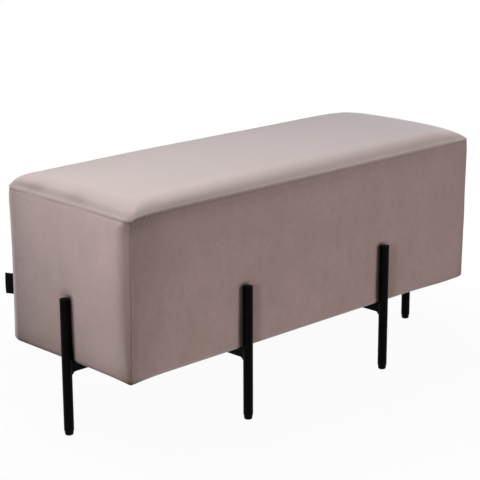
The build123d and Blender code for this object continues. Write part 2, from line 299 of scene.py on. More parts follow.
def plan(girth, inset, spare=0.0, tight_x=1.0, tight_y=1.0):
    """The body's plan: at each girth, a point of a rectangle with elliptical corners, in by the inset.

    The corner's centre and its outward direction are read off piecewise along the girth. The corner's radii
    shrink with the inset down to a least radius, or grow with it by the spare share for rounder inner
    rings. They are multiplied by the tight shares, which make corners sharper along X and along Y.
    """
    girth = girth % whole_girth
    turn = np.interp(girth, girth_marks, np.pi / 2 * np.array([-1, -1, 0, 0, 1, 1, 2, 2, 3, 3]))
    along_x = np.interp(girth, girth_marks, [0, 1, 1, 1, 1, -1, -1, -1, -1, 0])
    along_y = np.interp(girth, girth_marks, [-1, -1, -1, 1, 1, 1, 1, -1, -1, -1])
    corner = of_corner(girth, CORNER_SHARES)
    change = np.where(inset > 0, spare - 1, -1) * inset
    most_radius = MOST_RADIUS_SHARE * (HALF_WIDTH - inset)
    radius_x = np.clip(CORNER_X * corner * tight_x + change, LEAST_RADIUS, most_radius)
    radius_y = np.clip(CORNER_Y * corner * tight_y + change, LEAST_RADIUS, most_radius)
    x = along_x * (HALF_LENGTH - inset - radius_x) + np.cos(turn) * radius_x
    y = along_y * (HALF_WIDTH - inset - radius_y) + np.sin(turn) * radius_y
    return x, y


def on_long(girth):
    """1 along the long sides and 0 along the ends, changing over in the corners."""
    return np.interp(girth % whole_girth, girth_marks, [1, 1, 0, 0, 1, 1, 0, 0, 1, 1])


def girth_from(girth, mark):
    """The distance along the outline from a mark, the shorter way round, positive anticlockwise."""
    return (girth - mark + whole_girth / 2) % whole_girth - whole_girth / 2


def bell(distance, reach):
    """1 at no distance, falling smoothly to nothing a couple of reaches away."""
    return np.exp(-((distance / reach) ** 2))


def wander(girth, wavelength, seed, waves=9, spread=(0.55, 1.6), gain=2):
    """A wavering line round the girth: the mean of sines of about one wavelength with seeded phases.

    The sines' counts round the girth are spread about the wavelength's own. The gain brings it to about 1.
    """
    phases = np.random.default_rng(seed).uniform(0, 2 * np.pi, waves)
    counts = np.round(whole_girth / wavelength * np.linspace(*spread, waves))
    return np.sin(2 * np.pi * girth[..., None] / whole_girth * counts + phases).mean(-1) * gain


def rolling(a, b, wavelength, seed, waves=12, spread=(0.7, 1.4), gain=1.8):
    """Soft hollows and swells over a face: the mean of sines of about one wavelength in seeded directions.

    Each sine runs across the face along its own heading. The gain brings their mean to about 1.
    """
    draw = np.random.default_rng(seed)
    headings = draw.uniform(0, np.pi, waves)
    phases = draw.uniform(0, 2 * np.pi, waves)
    pace = 2 * np.pi / wavelength * draw.uniform(*spread, waves)
    across = a[..., None] * np.cos(headings) + b[..., None] * np.sin(headings)
    return np.sin(across * pace + phases).mean(-1) * gain


def seam_line(girth):
    """The top seam's height: bowed along the long sides, drooping or rising at each upright seam.

    A droop fades quickly along the long side and slowly along the end.
    """
    x, _ = plan(girth, np.zeros_like(girth))
    height = SEAM_HEIGHT + SEAM_BOW * (1 - (x / HALF_LENGTH) ** SEAM_BOW_POWER)
    for mark, droop, end_side in zip(upright_seams, CORNER_DROOPS, END_SIDES):
        way = girth_from(girth, mark) * end_side
        reach = np.where(way < 0, DROOP_REACH_LONG, DROOP_REACH_END)
        height = height - droop * np.exp(-np.abs(way) / reach)
    return height


def at_upright_seams(girth):
    """1 at each upright seam, falling to nothing beside it: a sum of bells."""
    return sum(bell(girth_from(girth, mark), NIP_REACH) for mark in upright_seams)


def seam_sway(girth):
    """How far the stitches stray up and down from the seam's line, and are pulled down by upright seams."""
    return SEAM_SWAY * wander(girth, SEAM_SWAY_LENGTH, seed=5) - NIP_DROP * at_upright_seams(girth)


def stitch_shade(girth, away):
    """How dark the painted shade is in the top seam's groove, more and less from stitch to stitch."""
    depth = GROOVE_SHADE_END + (GROOVE_SHADE_LONG - GROOVE_SHADE_END) * on_long(girth)
    stitches = STITCH_EVEN + STITCH_CHANGE * wander(girth, STITCH_LENGTH, seed=31)
    return depth * stitches * bell(away, GROOVE_REACH)


def corner_nip(girth, below):
    """How far the cloth is nipped in where an upright seam meets the top seam."""
    return NIP_DEPTH * at_upright_seams(girth) * np.exp(-below / NIP_REACH)


def from_leg(girth, axis):
    """The distance along the side from the line where a leg touches it."""
    x, y = plan(girth, np.zeros_like(girth))
    return np.sqrt(np.maximum((x - axis.x) ** 2 + (y - axis.y) ** 2 - leg_standoff**2, 0))


def side_inset(girth, height, below):
    """How far the side stands in from the outline: drawn in, pressed by the legs and nipped at the seams.

    The draw-in is a parabola between the seam and the underside. Each leg presses a flat-floored valley
    behind it, which ends in a dimple above the leg's top. An upright seam is a narrow groove between two
    low ridges. The tuck and the puckers fade below the top seam, and the unevenness starts there.
    """
    middle = (SEAM_HEIGHT + UNDERSIDE) / 2
    share = np.clip((height - middle) / (SEAM_HEIGHT - middle), -1, 1)
    inset = DRAW_IN * (1 - share**2)
    press_depth = LEG_RADIUS + LEG_GAP - leg_standoff
    above = np.maximum(height - LEG_TOP, 0)
    for axis in leg_axes:
        valley = 1 / (1 + (from_leg(girth, axis) / VALLEY_REACH) ** VALLEY_POWER)
        inset = inset + valley * bell(above, DIMPLE_REACH) * (press_depth - inset)
    for mark in upright_seams:
        apart = np.abs(girth_from(girth, mark))
        inset = inset + UPRIGHT_GROOVE_DEPTH * np.exp(-apart / UPRIGHT_GROOVE_REACH)
        inset = inset - UPRIGHT_RIDGE_HEIGHT * bell(apart - UPRIGHT_RIDGE_PLACE, UPRIGHT_RIDGE_REACH)
    tuck_depth = TUCK_DEPTH_END + (TUCK_DEPTH_LONG - TUCK_DEPTH_END) * on_long(girth)
    tuck = tuck_depth * np.exp(-below / TUCK_REACH)
    pucker = PUCKER_DEPTH * wander(girth, PUCKER_LENGTH, seed=11) * np.exp(-below / PUCKER_REACH)
    uneven = UNEVEN_DEPTH * rolling(girth, height, UNEVEN_LENGTH, seed=3)
    uneven = uneven * np.clip(below / UNEVEN_START, 0, 1)
    return inset + corner_nip(girth, below) + tuck + pucker + uneven


def tube_mesh(name, points, **pile):
    """A closed mesh from rings of points, (rings, around, 3), its faces turned out by its volume's sign.

    The end rings are closed by joining each point to its partner, counted from the other end of the ring.
    What is given of the pile at each point is kept as attributes of those names.
    """
    rings, around = points.shape[:2]
    index = np.arange(rings * around).reshape(rings, around)
    following = np.roll(index, -1, axis=1)
    walls = np.stack([index[:-1], following[:-1], following[1:], index[1:]], axis=-1).reshape(-1, 4)
    half = around // 2
    near = np.arange(half - 1)
    cap = np.stack([near, around - 1 - near, around - 2 - near, near + 1], axis=-1)
    faces = np.concatenate([walls, cap, (rings - 1) * around + cap[:, ::-1]])
    flat = points.reshape(-1, 3)
    first, second, third, fourth = (flat[faces[:, i]] for i in range(4))
    volume = np.einsum("ij,ij->i", first, np.cross(second, third) + np.cross(third, fourth)).sum()
    if volume < 0:
        faces = faces[:, ::-1]
    mesh = bpy.data.meshes.new(name)
    mesh.from_pydata(flat, [], faces, shade_flat=False)
    for kind, value in pile.items():
        layer = mesh.attributes.new(kind, "FLOAT", "POINT")
        layer.data.foreach_set("value", np.ascontiguousarray(value, dtype=np.float32).ravel())
    piece = bpy.data.objects.new(name, mesh)
    bpy.context.scene.collection.objects.link(piece)
    return piece


def graded(start, stop, count, crowding):
    """Places from start to stop, closer together at both ends by the crowding share."""
    share = np.linspace(0, 1, count)
    return start + (stop - start) * (share - crowding * np.sin(2 * np.pi * share) / (2 * np.pi))


# Steps of a pad's grid, as counts or as a start, a stop and a count
PAD_CROWDING = 0.45
FOLD_STEPS = 5
FACE_TOP_STEPS = (0.008, 0.05, 12)
FACE_STEPS = (0.065, 1, 58)
BOTTOM_STEPS = 9
HEM_STEPS = 6


def side_pad(name, start, stop, count, hang, brushed, lifted, seam_shade):
    """A side pad between two upright seams: its section, a closed loop, carried along the girth.

    The outer half of the loop folds out of the top seam, runs down the face, rounds the bottom edge and ends
    at the hem. The inner half comes back along the underside and up the face of the box. The bottom edge
    hangs down beside each corner, by its share and most at a reach from the upright seam. A painted sheen
    and painted light and shade are given by shares for the middle of the face and as slopes upwards and
    along Y. Painted shade makes it darker by the upright seams, by each corner's share and its growth
    downwards and over a reach, in the top seam's groove, as painted shadow below it, along the bottom
    edge, and as painted contact shadow by the legs.
    """
    girth = graded(start, stop, count, PAD_CROWDING)[:, None]
    to_seam = np.min([np.abs(girth_from(girth, mark)) for mark in upright_seams], axis=0)
    at_corner = bell(to_seam, CORNER_BOTTOM_REACH)
    bottom_radius = BOTTOM_RADIUS + (of_corner(girth, CORNER_BOTTOM_RADII) - BOTTOM_RADIUS) * at_corner
    drop = SEAM_HEIGHT - UNDERSIDE - bottom_radius
    fold = np.linspace(0, np.pi / 2, FOLD_STEPS)[None, :]
    face_share = np.concatenate([np.linspace(*FACE_TOP_STEPS), np.linspace(*FACE_STEPS)])[None, :]
    turn = np.linspace(0, np.pi / 2, BOTTOM_STEPS)[None, 1:]
    hem_share = np.linspace(0, 1, HEM_STEPS)[None, 1:]
    none = np.zeros_like(girth)
    outer_inset = np.concatenate([
        SEAM_FOLD * (1 - np.sin(fold)) + none,
        0 * face_share + none,
        bottom_radius * (1 - np.cos(turn)),
        bottom_radius + hem_share * (HEM_INSET - bottom_radius),
    ], axis=1)
    outer_drop = np.concatenate([
        SEAM_FOLD * (1 - np.cos(fold)) + none,
        face_share * drop,
        drop + bottom_radius * np.sin(turn),
        SEAM_HEIGHT - UNDERSIDE + 0 * hem_share + none,
    ], axis=1)
    seam = seam_line(girth) + seam_sway(girth)
    lift = (seam - SEAM_HEIGHT) * np.clip(1 - outer_drop / drop, 0, 1)
    hang_shares, hang_reach = hang
    from_seam = to_seam / hang_reach
    sag = of_corner(girth, hang_shares) * from_seam * np.exp((1 - from_seam**2) / 2)
    sag = sag * (outer_drop / drop) ** 2 * np.clip(1 - outer_inset / HANG_WIDTH, 0, 1)
    height = SEAM_HEIGHT - outer_drop + lift - sag
    girth = girth + 0 * height
    below = np.maximum(seam - height, 0)
    give = side_inset(girth, height, below)
    give = give * np.clip((height - UNDERSIDE) / bottom_radius, 0, 1)
    tight_x = 1 - of_corner(girth, BOTTOM_TIGHTENINGS) * bell(height - UNDERSIDE, BOTTOM_TIGHT_REACH)
    tight_y = tight_x - of_corner(girth, TOP_TIGHTENINGS) * bell(below, TOP_TIGHT_REACH)
    outer_x, outer_y = plan(girth, outer_inset + give, 0, tight_x, tight_y)
    inner_x, inner_y = plan(girth, np.maximum(outer_inset, BOX_INSET - BOX_CLEARANCE))
    inner_height = np.maximum(SEAM_HEIGHT - outer_drop, BASE_BOTTOM - BASE_CLEARANCE) + lift
    outer = np.stack([outer_x, outer_y, height], axis=-1)
    inner = np.stack([inner_x, inner_y, inner_height], axis=-1)
    loop = np.concatenate([outer, inner[:, ::-1]], axis=1)
    rise = 2 * (loop[..., 2] - UNDERSIDE) / (SEAM_HEIGHT - UNDERSIDE) - 1
    # Painted light and shade: slopes over the face, faded by the upright seams, and painted shade in the
    # groove,
    by_seam = np.clip((to_seam - SEAM_STRIP) / SEAM_STRIP, 0, 1)
    # as painted shadow under the cushion's edge, as painted contact shadow by the legs and along the bottom
    # edge
    slopes = np.stack([1 + 0 * rise, rise, loop[..., 1] / HALF_WIDTH], axis=-1)
    under = UNDER_SHADE * (1 - UNDER_TILT * outer_x / HALF_LENGTH)
    shade = stitch_shade(girth, below) + on_long(girth) * under * bell(below - UNDER_PLACE, UNDER_REACH)
    leg_shadow = sum(bell(from_leg(girth, axis), LEG_SHADE_REACH) for axis in leg_axes)
    shade = shade + LEG_SHADE * leg_shadow * bell(np.maximum(height - LEG_TOP, 0), LEG_SHADE_ABOVE)
    shade = shade + END_BOTTOM_SHADE * (1 - on_long(girth)) * bell(height - UNDERSIDE, END_BOTTOM_REACH)
    shade = np.minimum(shade + BOTTOM_SHADE * bell(height - UNDERSIDE, BOTTOM_SHADE_REACH), DARKEST)
    corner_shares, corner_growths, corner_reach = seam_shade
    share, growth = (of_corner(girth[:, :1], values) for values in (corner_shares, corner_growths))
    corner_shade = share * np.maximum(1 - growth * rise, SEAM_SHADE_LEAST) * bell(to_seam, corner_reach)
    painted_shading = by_seam * (slopes @ lifted) - corner_shade
    painted_shading = painted_shading - np.concatenate([shade, 0 * shade], axis=1)
    return tube_mesh(name, loop, brushed=np.clip(slopes @ brushed, 0, 1), lifted=painted_shading)


# Velvet tones that mottle at random, and a paler, greyer tone that is a painted sheen
VELVET_MAUVE = (0.403, 0.256, 0.250, 1)
VELVET_TAUPE = (0.372, 0.242, 0.200, 1)
VELVET_CRUSHED = (0.315, 0.202, 0.178, 1)
VELVET_FLECK = (0.285, 0.190, 0.140, 1)
VELVET_PAINTED_SHEEN = (0.425, 0.333, 0.298, 1)
VELVET_SHEEN = (1.0, 0.964, 0.995, 1)
FULL_PAINTED_SHEEN = 1.4
PILE_RELIEF = 0.0002
PILE_STRENGTH = 0.4

velvet, tree, shader = new_material("mauve_velvet")
stroked = mottle(tree, Scale=13, Low=0.38, High=0.62, First=VELVET_MAUVE, Second=VELVET_TAUPE)
crushed = mottle(
    tree, stroked, Stretch=(1, 1, 0.5), Scale=42, Detail=4, Roughness=0.6,
    Low=0.45, High=0.80, Share=0.5, Second=VELVET_CRUSHED,
)
flecked = mottle(
    tree, crushed, Scale=85, Detail=2, Roughness=0.5,
    Low=0.42, High=0.75, Share=0.35, Second=VELVET_FLECK,
)
pile = mottle(tree, Scale=1500, Detail=2)
# Painted sheen: the pads' attribute mixes in the paler, greyer tone where the sheen would show
painted_sheen_reader = tree.nodes.new("ShaderNodeAttribute")
painted_sheen_reader.attribute_name = "brushed"
# Painted light and shade: the pads' other attribute scales the colour up for painted light and down for
# painted shade
painted_shading = tree.nodes.new("ShaderNodeAttribute")
painted_shading.attribute_name = "lifted"
painted_sheen_mix = tree.nodes.new("ShaderNodeMix")
painted_sheen_mix.data_type = "RGBA"
painted_sheen_mix.inputs["B"].default_value = VELVET_PAINTED_SHEEN
tree.links.new(remap(tree, painted_sheen_reader.outputs["Fac"], 0, FULL_PAINTED_SHEEN, 0, 1), painted_sheen_mix.inputs["Factor"])
tree.links.new(flecked.outputs["Tone"], painted_sheen_mix.inputs["A"])
painted_light_scale = tree.nodes.new("ShaderNodeVectorMath")
painted_light_scale.operation = "SCALE"
tree.links.new(painted_sheen_mix.outputs["Result"], painted_light_scale.inputs["Vector"])
tree.links.new(remap(tree, painted_shading.outputs["Fac"], -1, 1, 0, 2), painted_light_scale.inputs["Scale"])
tree.links.new(painted_light_scale.outputs["Vector"], shader.inputs["Base Color"])
shader.inputs["Roughness"].default_value = 0.9
shader.inputs["Specular IOR Level"].default_value = 0.05
# Where the painted shade darkens the cloth, it weakens the sheen as well
tree.links.new(remap(tree, painted_shading.outputs["Fac"], -1, 0, 0, 1), shader.inputs["Sheen Weight"])
shader.inputs["Sheen Roughness"].default_value = 0.58
shader.inputs["Sheen Tint"].default_value = VELVET_SHEEN
bump(tree, shader, pile.outputs["Height"], PILE_RELIEF, PILE_STRENGTH)


def upholster(pad, *nodes):
    """The velvet finish of a pad, the CAD nodes that it stands for, and its body."""
    pad.data.materials.append(velvet)
    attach(pad, "bench")
    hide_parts(*nodes)


# Looks of the long pads and the end pads: painted sheen and painted light as slopes, and hangs and painted
# # seam shades for each corner with their reaches
LONG_COUNT = 400
END_COUNT = 190
LONG_HANG = (np.array([0.0050, 0, 0, 0]), 0.070)
LONG_PAINTED_SHEEN = (0.0, 0.0, 0.0)
LONG_PAINTED_LIGHT = (0.06, -0.08, 0.0)
LONG_SEAM_SHADE = (np.array([0.06, 0.25, 0.25, 0.25]), np.full(4, 0.05), 0.085)
END_HANG = (np.array([0, 0, 0, 0.0025]), 0.055)
END_PAINTED_SHEEN = (0.08, 0.15, -0.15)
END_PAINTED_LIGHT = (0.03, 0.18, -0.24)
END_SEAM_SHADE = (np.array([0.19, 0.19, 0.20, 0.30]), np.array([0.5, 0.5, -0.6, 0.5]), 0.036)
long_look = (LONG_COUNT, LONG_HANG, LONG_PAINTED_SHEEN, LONG_PAINTED_LIGHT, LONG_SEAM_SHADE)
end_look = (END_COUNT, END_HANG, END_PAINTED_SHEEN, END_PAINTED_LIGHT, END_SEAM_SHADE)

front_pad = side_pad("front_pad", -upright_seams[0], upright_seams[0], *long_look)
upholster(front_pad, "front_panel", "front_foam")
right_end_pad = side_pad("right_end_pad", upright_seams[0], upright_seams[1], *end_look)
upholster(right_end_pad, "right_end_panel", "right_foam")
rear_pad = side_pad("rear_pad", upright_seams[1], upright_seams[2], *long_look)
upholster(rear_pad, "rear_panel", "rear_foam")
left_end_pad = side_pad("left_end_pad", upright_seams[2], upright_seams[3], *end_look)
upholster(left_end_pad, "left_end_panel", "left_foam")

# Velvet cover over foam, the top cushion
# A foam slab with wadding over it lies under one sheet of the same velvet, crowned and rolled at the edges.
# Its edge is sewn to the side panels all round, with the seam's spare cloth turned up in it as a low ridge.

# Swelling of the sewn cover over the foam
CUSHION_PRESSURE = 4.0
SWELL_STEPS = 20
RING_STEP = 3
COLUMN_STEP = 4
SEWN_RINGS = 5
SWELL = 0.004

# Section from the middle to the seam: a dome, the shoulder's roll, and the flat underneath. The roll's steps
# are a start, a stop, a count and a crowding.
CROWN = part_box("top_panel")[1].z - SEAM_HEIGHT - SWELL
SHOULDER_RUN = 0.036
SHOULDER_RISE = 0.0265
SHOULDER_START = math.radians(8)
DOME_RUN = 0.100
DOME_EDGE = 0.005
DOME_STEPS = 22
ROLL_STEPS = (0.97, 0.03, 38, 0.3)
MIDDLE_INSET = 0.150
RING_SPARE = 1.30
DECK_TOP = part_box("top_deck")[1].z
DECK_CLEARANCE = 0.0002
LEDGE = 0.003
UNDER_RING = 0.08
CUSHION_COUNT = 1040

# Height: lost at each corner and at the right end, fuller left of the middle, slack away from the seam, and
# following the seam's droop and sway, which fade along the section
CORNER_LOSSES = np.array([0.24, 0.16, 0.05, 0.24])
CORNER_LOSS_REACH = 0.070
RIGHT_FALL = 0.24
RIGHT_FALL_POWER = 8
FULL_RISE = 0.0030
FULL_PLACE = -0.18
FULL_REACH = 0.30
SLACK_HEIGHT = 0.0006
SLACK_LENGTH = 0.22
SLACK_START = 0.05
DROOP_FADE = 0.05
SWAY_FADE = 0.006

# Edge: each form's way from the seam along the section, and its reach to both sides of that
RIDGE_HEIGHT = 0.0009
RIDGE_WAY, RIDGE_REACH = 0.0045, 0.0022
HOLLOW_DEPTH_LONG = 0.0004
HOLLOW_DEPTH_END = 0.0007
HOLLOW_WAY, HOLLOW_REACH = 0.0125, 0.0050
STITCH_PUCKER = 0.00006
STITCH_PUCKER_LENGTH = 0.018
STITCH_PUCKER_WAY, STITCH_PUCKER_REACH = 0.002, 0.004
SHOULDER_WAVE = 0.0003
SHOULDER_WAVE_LENGTH = 0.170
SHOULDER_WAVE_WAY, SHOULDER_WAVE_REACH = 0.020, 0.014
DENT_DEPTH = 0.0030
DENT_SPREAD = 0.032
DENT_WAY, DENT_REACH = 0.016, 0.013
LEFT_END_DENTS = (0.085, 0.210)
FRONT_DENT = 0.036
dent_marks = [upright_seams[2] + place for place in LEFT_END_DENTS] + [upright_seams[3] + FRONT_DENT]

# Painted sheen and painted light in the middle and as a slope along X, and painted shade along the edge
TOP_PAINTED_SHEEN = (0.90, -0.40)
TOP_PAINTED_LIGHT = (0.03, -0.03)
DENT_SHADE = 0.14
EDGE_SHADE = 0.10
EDGE_SHADE_REACH = 0.012
EDGE_TILT = 0.34
EDGE_TILT_WAY, EDGE_TILT_REACH = 0.006, 0.010
END_SHADE = 0.26
END_SHADE_SLOPE = (0.85, 0.45)
END_SHADE_WAY, END_SHADE_REACH = 0.014, 0.0090


def smoothed(values, reach, axis, ends):
    """The mean of the values within a reach along an axis, its ends repeated or wrapped round."""
    widths = [(0, 0)] * values.ndim
    widths[axis] = (reach, reach)
    spread = np.pad(values, widths, mode=ends)
    count = values.shape[axis]
    return np.mean([np.take(spread, range(i, i + count), axis) for i in range(2 * reach + 1)], axis=0)


def swelling(upper, under):
    """How far the sewn cover swells over the foam at each point of the upper grid, by a cloth simulation.

    Some of the cushion's rings and columns become a cloth that is held at the seam and underneath, with
    pressure inside and no weight. Its movement is scaled to the swell, carried back to all points and
    smoothed.
    """
    rings = np.unique(np.append(np.arange(0, len(upper), RING_STEP), len(upper) - 1))
    columns = np.arange(0, upper.shape[1], COLUMN_STEP)
    start = np.concatenate([upper[rings][:, columns], under[:, columns]])
    trial = tube_mesh("cushion_trial", start)
    sewn = trial.vertex_groups.new(name="sewn")
    first_held = np.searchsorted(rings, len(upper) - SEWN_RINGS) * len(columns)
    sewn.add(list(range(int(first_held), start.shape[0] * start.shape[1])), 1.0, "REPLACE")
    cloth = trial.modifiers.new("cover", "CLOTH").settings
    cloth.quality = 6
    cloth.mass = 0.3
    cloth.tension_stiffness = 15
    cloth.compression_stiffness = 15
    cloth.shear_stiffness = 5
    cloth.bending_stiffness = 0.5
    cloth.vertex_group_mass = "sewn"
    cloth.use_pressure = True
    cloth.uniform_pressure_force = CUSHION_PRESSURE
    cloth.effector_weights.gravity = 0
    for step in range(1, SWELL_STEPS + 1):
        bpy.context.scene.frame_set(step)
    swollen = trial.evaluated_get(bpy.context.evaluated_depsgraph_get()).data
    moved = np.empty(start.size, dtype=np.float32)
    swollen.vertices.foreach_get("co", moved)
    bpy.context.scene.frame_set(1)
    bpy.data.objects.remove(trial)
    moved = (moved.reshape(start.shape) - start)[:len(rings)]
    moved = moved * (SWELL / np.linalg.norm(moved, axis=-1).max())
    ring_place = np.interp(np.arange(len(upper)), rings, np.arange(len(rings)))
    column_place = np.arange(upper.shape[1]) / COLUMN_STEP
    for axis, places in ((0, ring_place), (1, column_place)):
        low = np.floor(places).astype(int)
        count = moved.shape[axis]
        high = (low + 1) % count if axis else np.minimum(low + 1, count - 1)
        part = (places - low).reshape((-1, 1, 1) if axis == 0 else (1, -1, 1))
        moved = np.take(moved, low, axis) * (1 - part) + np.take(moved, high, axis) * part
    return smoothed(smoothed(moved, RING_STEP, 0, "edge"), COLUMN_STEP, 1, "wrap")


def top_cushion(name, count):
    """The crowned top: a section, from the middle out to the seam and back under, carried round the girth.

    The section is a dome, then an elliptical shoulder, then the fold into the seam. Its height is less
    towards the corners. A ridge, puckers and dents push it out along its own slope. A painted sheen makes it
    paler on top. Painted light and shade slope along X, and painted shade makes it darker along the edge, at
    the end's shoulder, in the dents and in the seam's groove.
    """
    girth = (right_end_middle + (np.arange(count) + 0.5) * whole_girth / count)[None, :]
    rest = np.linspace(MIDDLE_INSET, SHOULDER_RUN + DOME_EDGE, DOME_STEPS)
    dome = 1 - (1 - np.clip((rest - SHOULDER_RUN) / DOME_RUN, 0, 1)) ** 2
    roll = SHOULDER_START + (math.pi / 2 - SHOULDER_START) * graded(*ROLL_STEPS)
    roll_inset = SHOULDER_RUN * (1 - np.cos(roll) / math.cos(SHOULDER_START))
    roll_rise = SHOULDER_RISE * (np.sin(roll) - math.sin(SHOULDER_START)) / (1 - math.sin(SHOULDER_START))
    fold = np.linspace(np.pi / 2, 0, FOLD_STEPS)
    inset = np.concatenate([rest, roll_inset, SEAM_FOLD * (1 - np.sin(fold))])[:, None]
    rise = np.concatenate([
        SHOULDER_RISE + (CROWN - SHOULDER_RISE) * dome,
        np.maximum(roll_rise, SEAM_FOLD),
        SEAM_FOLD * (1 - np.cos(fold)),
    ])[:, None]
    way = np.hypot(inset, rise)
    tight = 1 - of_corner(girth, TOP_TIGHTENINGS) * bell(way, TOP_TIGHT_REACH)
    x, y = plan(girth, inset + 0 * girth, RING_SPARE, 1, tight)
    to_corner = np.hypot(HALF_LENGTH - np.abs(x), HALF_WIDTH - np.abs(y))
    lower = 1 - of_corner(girth, CORNER_LOSSES) * bell(to_corner, CORNER_LOSS_REACH)
    lower = lower * (1 - RIGHT_FALL * np.clip(x / HALF_LENGTH, 0, 1) ** RIGHT_FALL_POWER)
    hollow = HOLLOW_DEPTH_END + (HOLLOW_DEPTH_LONG - HOLLOW_DEPTH_END) * on_long(girth)
    ridge = RIDGE_HEIGHT * bell(way - RIDGE_WAY, RIDGE_REACH) - hollow * bell(way - HOLLOW_WAY, HOLLOW_REACH)
    pucker = STITCH_PUCKER * wander(girth, STITCH_PUCKER_LENGTH, seed=17)
    pucker = pucker * bell(way - STITCH_PUCKER_WAY, STITCH_PUCKER_REACH)
    dented = sum(bell(girth_from(girth, mark), DENT_SPREAD) for mark in dent_marks)
    dented = dented * bell(way - DENT_WAY, DENT_REACH)
    waves = SHOULDER_WAVE * rolling(x, y, SHOULDER_WAVE_LENGTH, seed=21)
    dents = -DENT_DEPTH * dented + waves * bell(way - SHOULDER_WAVE_WAY, SHOULDER_WAVE_REACH)
    slack = SLACK_HEIGHT * rolling(x, y, SLACK_LENGTH, seed=8)
    slack = slack + FULL_RISE * bell(x - FULL_PLACE, FULL_REACH)
    slack = slack * np.clip(way / SLACK_START, 0, 1)
    push = ridge + pucker + dents - corner_nip(girth + 0 * way, way)
    sideways = np.clip(1 - inset / SHOULDER_RUN, 0, 1)
    x, y = plan(girth, inset - push * sideways, RING_SPARE, 1, tight)
    z = SEAM_HEIGHT + rise * lower + slack + push * np.sqrt(1 - sideways**2)
    z = z + (seam_line(girth) - SEAM_HEIGHT) * bell(way, DROOP_FADE)
    z = z + seam_sway(girth) * bell(way, SWAY_FADE)
    upper = np.stack([x, y, z], axis=-1)
    ledge = [BOX_INSET - LEDGE, BOX_INSET]
    under_inset = np.array([*ledge, BOX_INSET + BOX_CLEARANCE, UNDER_RING, MIDDLE_INSET])[:, None]
    on_ledge = under_inset <= BOX_INSET
    under_height = np.where(on_ledge, seam_line(girth) + seam_sway(girth), DECK_TOP + DECK_CLEARANCE)
    under_x, under_y = plan(girth, under_inset + 0 * girth, RING_SPARE)
    under = np.stack([under_x, under_y, under_height], axis=-1)
    # Painted sheen paler on top, painted light along X, painted shade on the edge, end shoulder, dents and
    # groove
    brushed = np.concatenate([TOP_PAINTED_SHEEN[0] + TOP_PAINTED_SHEEN[1] * x / HALF_LENGTH, 0 * under_x])
    painted_shading = TOP_PAINTED_LIGHT[0] + TOP_PAINTED_LIGHT[1] * x / HALF_LENGTH - EDGE_SHADE * bell(way, EDGE_SHADE_REACH)
    end_shade = END_SHADE * (1 - on_long(girth)) * (END_SHADE_SLOPE[0] + END_SHADE_SLOPE[1] * y / HALF_WIDTH)
    painted_shading = painted_shading - end_shade * bell(way - END_SHADE_WAY, END_SHADE_REACH)
    painted_shading = painted_shading + EDGE_TILT * on_long(girth) * x / HALF_LENGTH * bell(way - EDGE_TILT_WAY, EDGE_TILT_REACH)
    painted_shading = painted_shading - DENT_SHADE * dented - stitch_shade(girth, way)
    lifted = np.concatenate([painted_shading, 0 * under_x])
    upper = upper + swelling(upper, under)
    return tube_mesh(name, np.concatenate([upper, under]), brushed=brushed, lifted=lifted)


cushion = top_cushion("top_cushion", CUSHION_COUNT)
upholster(cushion, "top_panel", "top_wadding", "top_foam")

# Dust cloth
# A black non-woven cloth with rounded corners closes the underside over the cover's hem.
# It is stapled round its edge and held up by the bars, and sags a little between them.

DUST_LOW, DUST_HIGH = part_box("dust_cloth")
DUST_THICKNESS = 0.0004
DUST_SAG = 0.0012
DUST_SAG_START = 0.05
DUST_CORNER = 0.040
DUST_COLUMNS = 120
DUST_ROWS = 44


def sheet_mesh(name, points):
    """An open sheet from a grid of points, (rows, columns, 3)."""
    rows, columns = points.shape[:2]
    index = np.arange(rows * columns).reshape(rows, columns)
    faces = np.stack([index[:-1, :-1], index[:-1, 1:], index[1:, 1:], index[1:, :-1]], axis=-1)
    mesh = bpy.data.meshes.new(name)
    mesh.from_pydata(points.reshape(-1, 3), [], faces.reshape(-1, 4), shade_flat=False)
    piece = bpy.data.objects.new(name, mesh)
    bpy.context.scene.collection.objects.link(piece)
    return piece


def thicken(piece, thickness):
    """A live Solidify that gives a sheet its thickness, half of it to each side."""
    solid = piece.modifiers.new("thickness", "SOLIDIFY")
    solid.thickness = thickness
    solid.offset = 0


# The sag is none at the edge and at the bars, and grows with the distance from the nearest of them
span_x = np.linspace(DUST_LOW.x, DUST_HIGH.x, DUST_COLUMNS)[None, :]
span_y = np.linspace(DUST_LOW.y, DUST_HIGH.y, DUST_ROWS)[:, None]
bar_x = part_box("right_cross_bar")[0].x
free_edge = np.minimum(DUST_HIGH.x - np.abs(span_x), DUST_HIGH.y - np.abs(span_y))
free_bar = np.abs(np.abs(span_x) - bar_x)
free_end_bar = np.where(np.abs(span_x) > bar_x, np.abs(span_y), np.inf)
free = np.minimum(np.minimum(free_edge, free_bar), free_end_bar)
sag = DUST_SAG * (1 - bell(free, DUST_SAG_START))

# Each corner square is drawn in to a quarter disc
corner_x = np.maximum(np.abs(span_x) - DUST_HIGH.x + DUST_CORNER, 0)
corner_y = np.maximum(np.abs(span_y) - DUST_HIGH.y + DUST_CORNER, 0)
dust_x = span_x - np.sign(span_x) * corner_x * (1 - np.sqrt(1 - (corner_y / DUST_CORNER) ** 2 / 2))
dust_y = span_y - np.sign(span_y) * corner_y * (1 - np.sqrt(1 - (corner_x / DUST_CORNER) ** 2 / 2))
dust_z = DUST_HIGH.z - DUST_THICKNESS / 2 - sag
dust = sheet_mesh("dust_cover", np.stack(np.broadcast_arrays(dust_x, dust_y, dust_z), axis=-1))
thicken(dust, DUST_THICKNESS)

